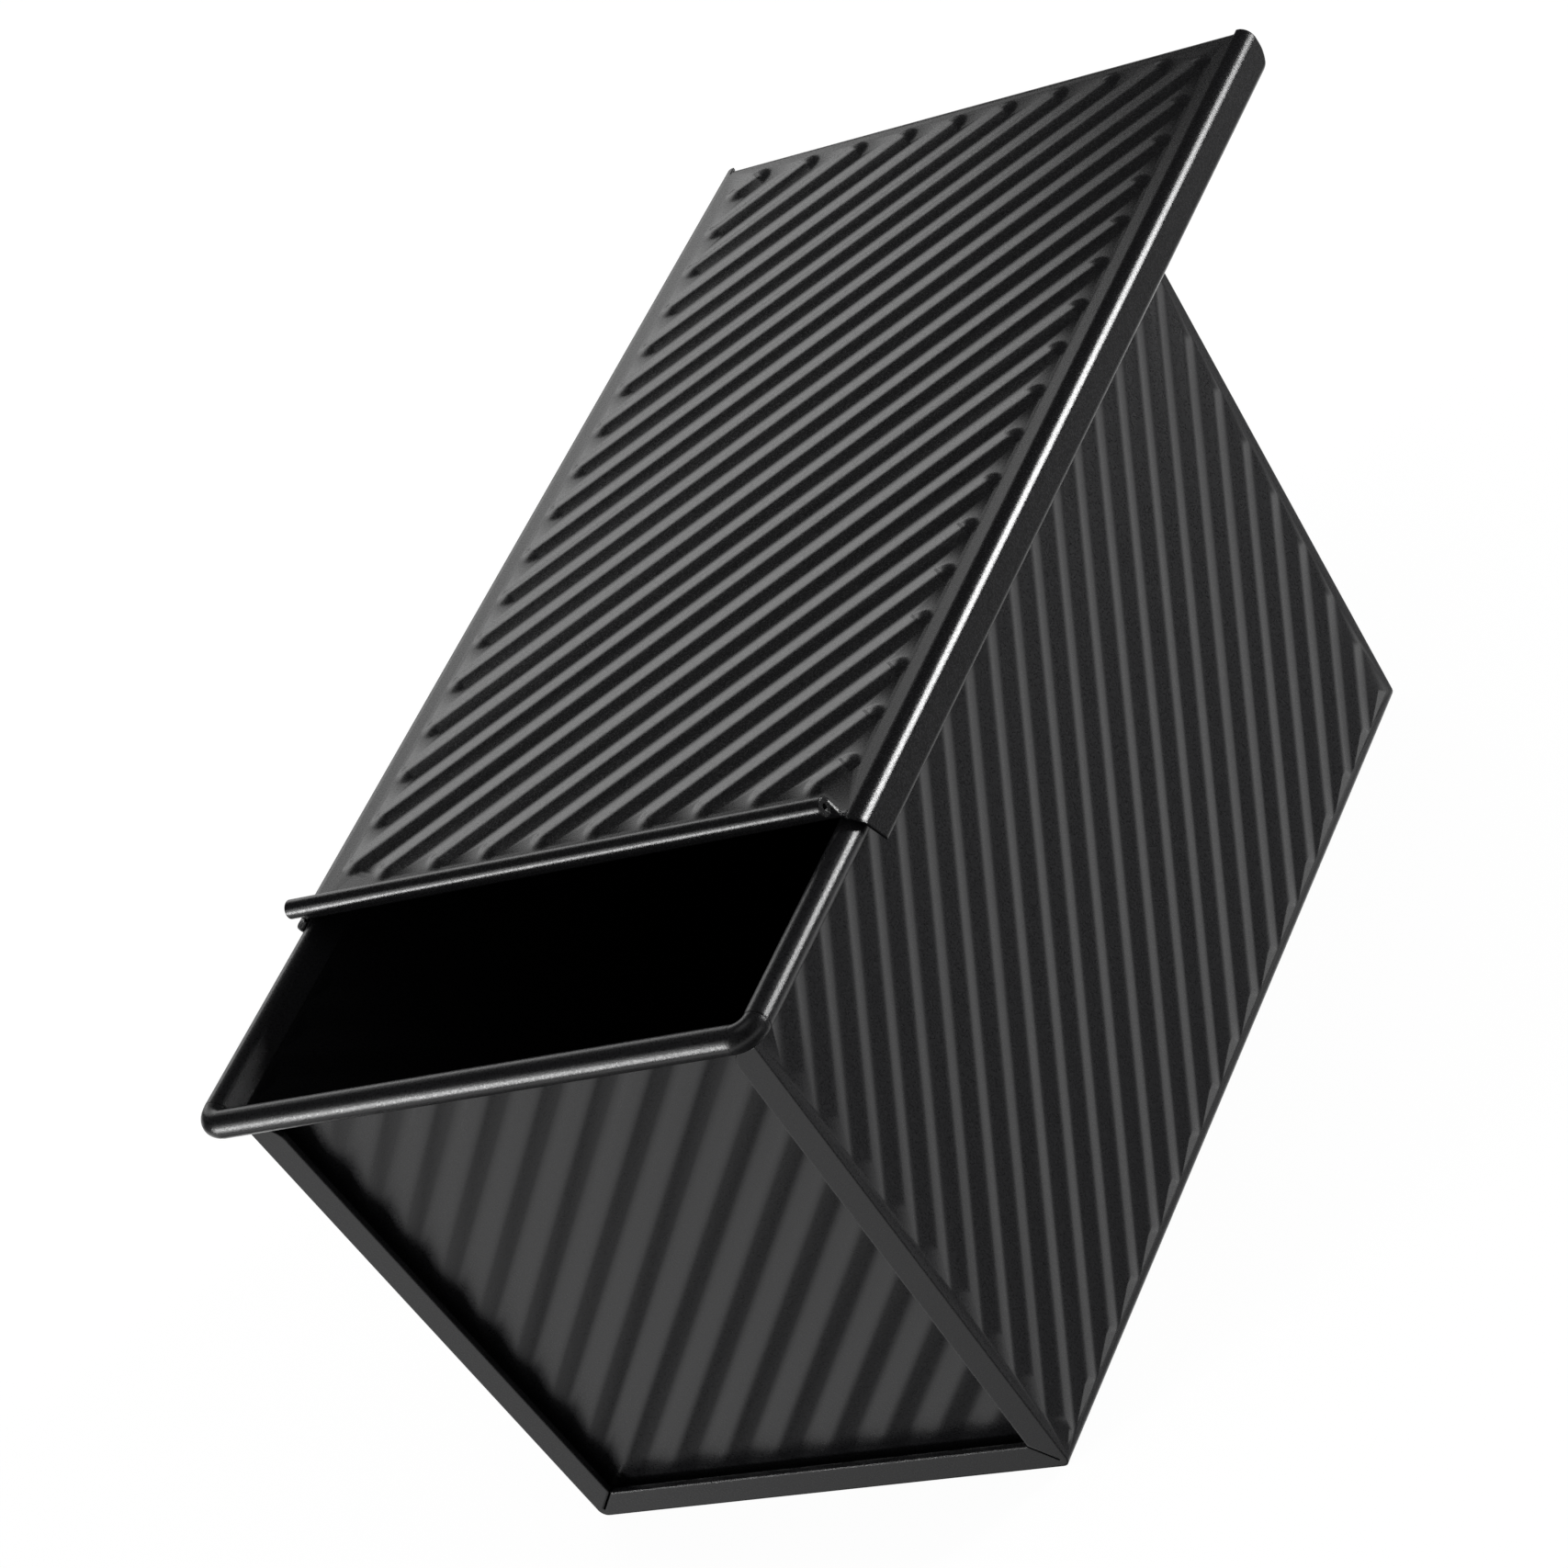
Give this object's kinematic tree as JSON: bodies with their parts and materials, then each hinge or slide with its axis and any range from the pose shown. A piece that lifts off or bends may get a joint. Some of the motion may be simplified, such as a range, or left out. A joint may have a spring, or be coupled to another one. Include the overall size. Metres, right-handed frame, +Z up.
{
  "type": "pullman loaf pan",
  "caption": "Lidded sheet-steel loaf pan with diagonal ribs, a rolled wire rim, framed end panels and a ribbed lid that slides along the rim and has a raised finger roll.",
  "frame": {"origin": "centre of the base's underside, on the surface the pan stands on", "axes": "+Z up, Y along the pan's length with the lid's finger roll at the -Y end, X across; the lid opens along +Y"},
  "size_m": [0.1244, 0.2615, 0.121],
  "materials": {
    "coated_steel": "satin black non-stick coating with a fine grain",
    "steel_wire": "drawn wire, hidden inside the rolled rim"
  },
  "bodies": {
    "pan": {"body_wrap": "coated_steel", "near_end_panel": "coated_steel", "far_end_panel": "coated_steel", "rim_wire": "steel_wire"},
    "lid": {"lid": "coated_steel"}
  },
  "joints": [
    {"name": "lid_slide", "type": "slide", "parent": "pan", "child": "lid", "axis": [0, 1, 0], "range_m": [-0.0457, 0.115]}
  ]
}
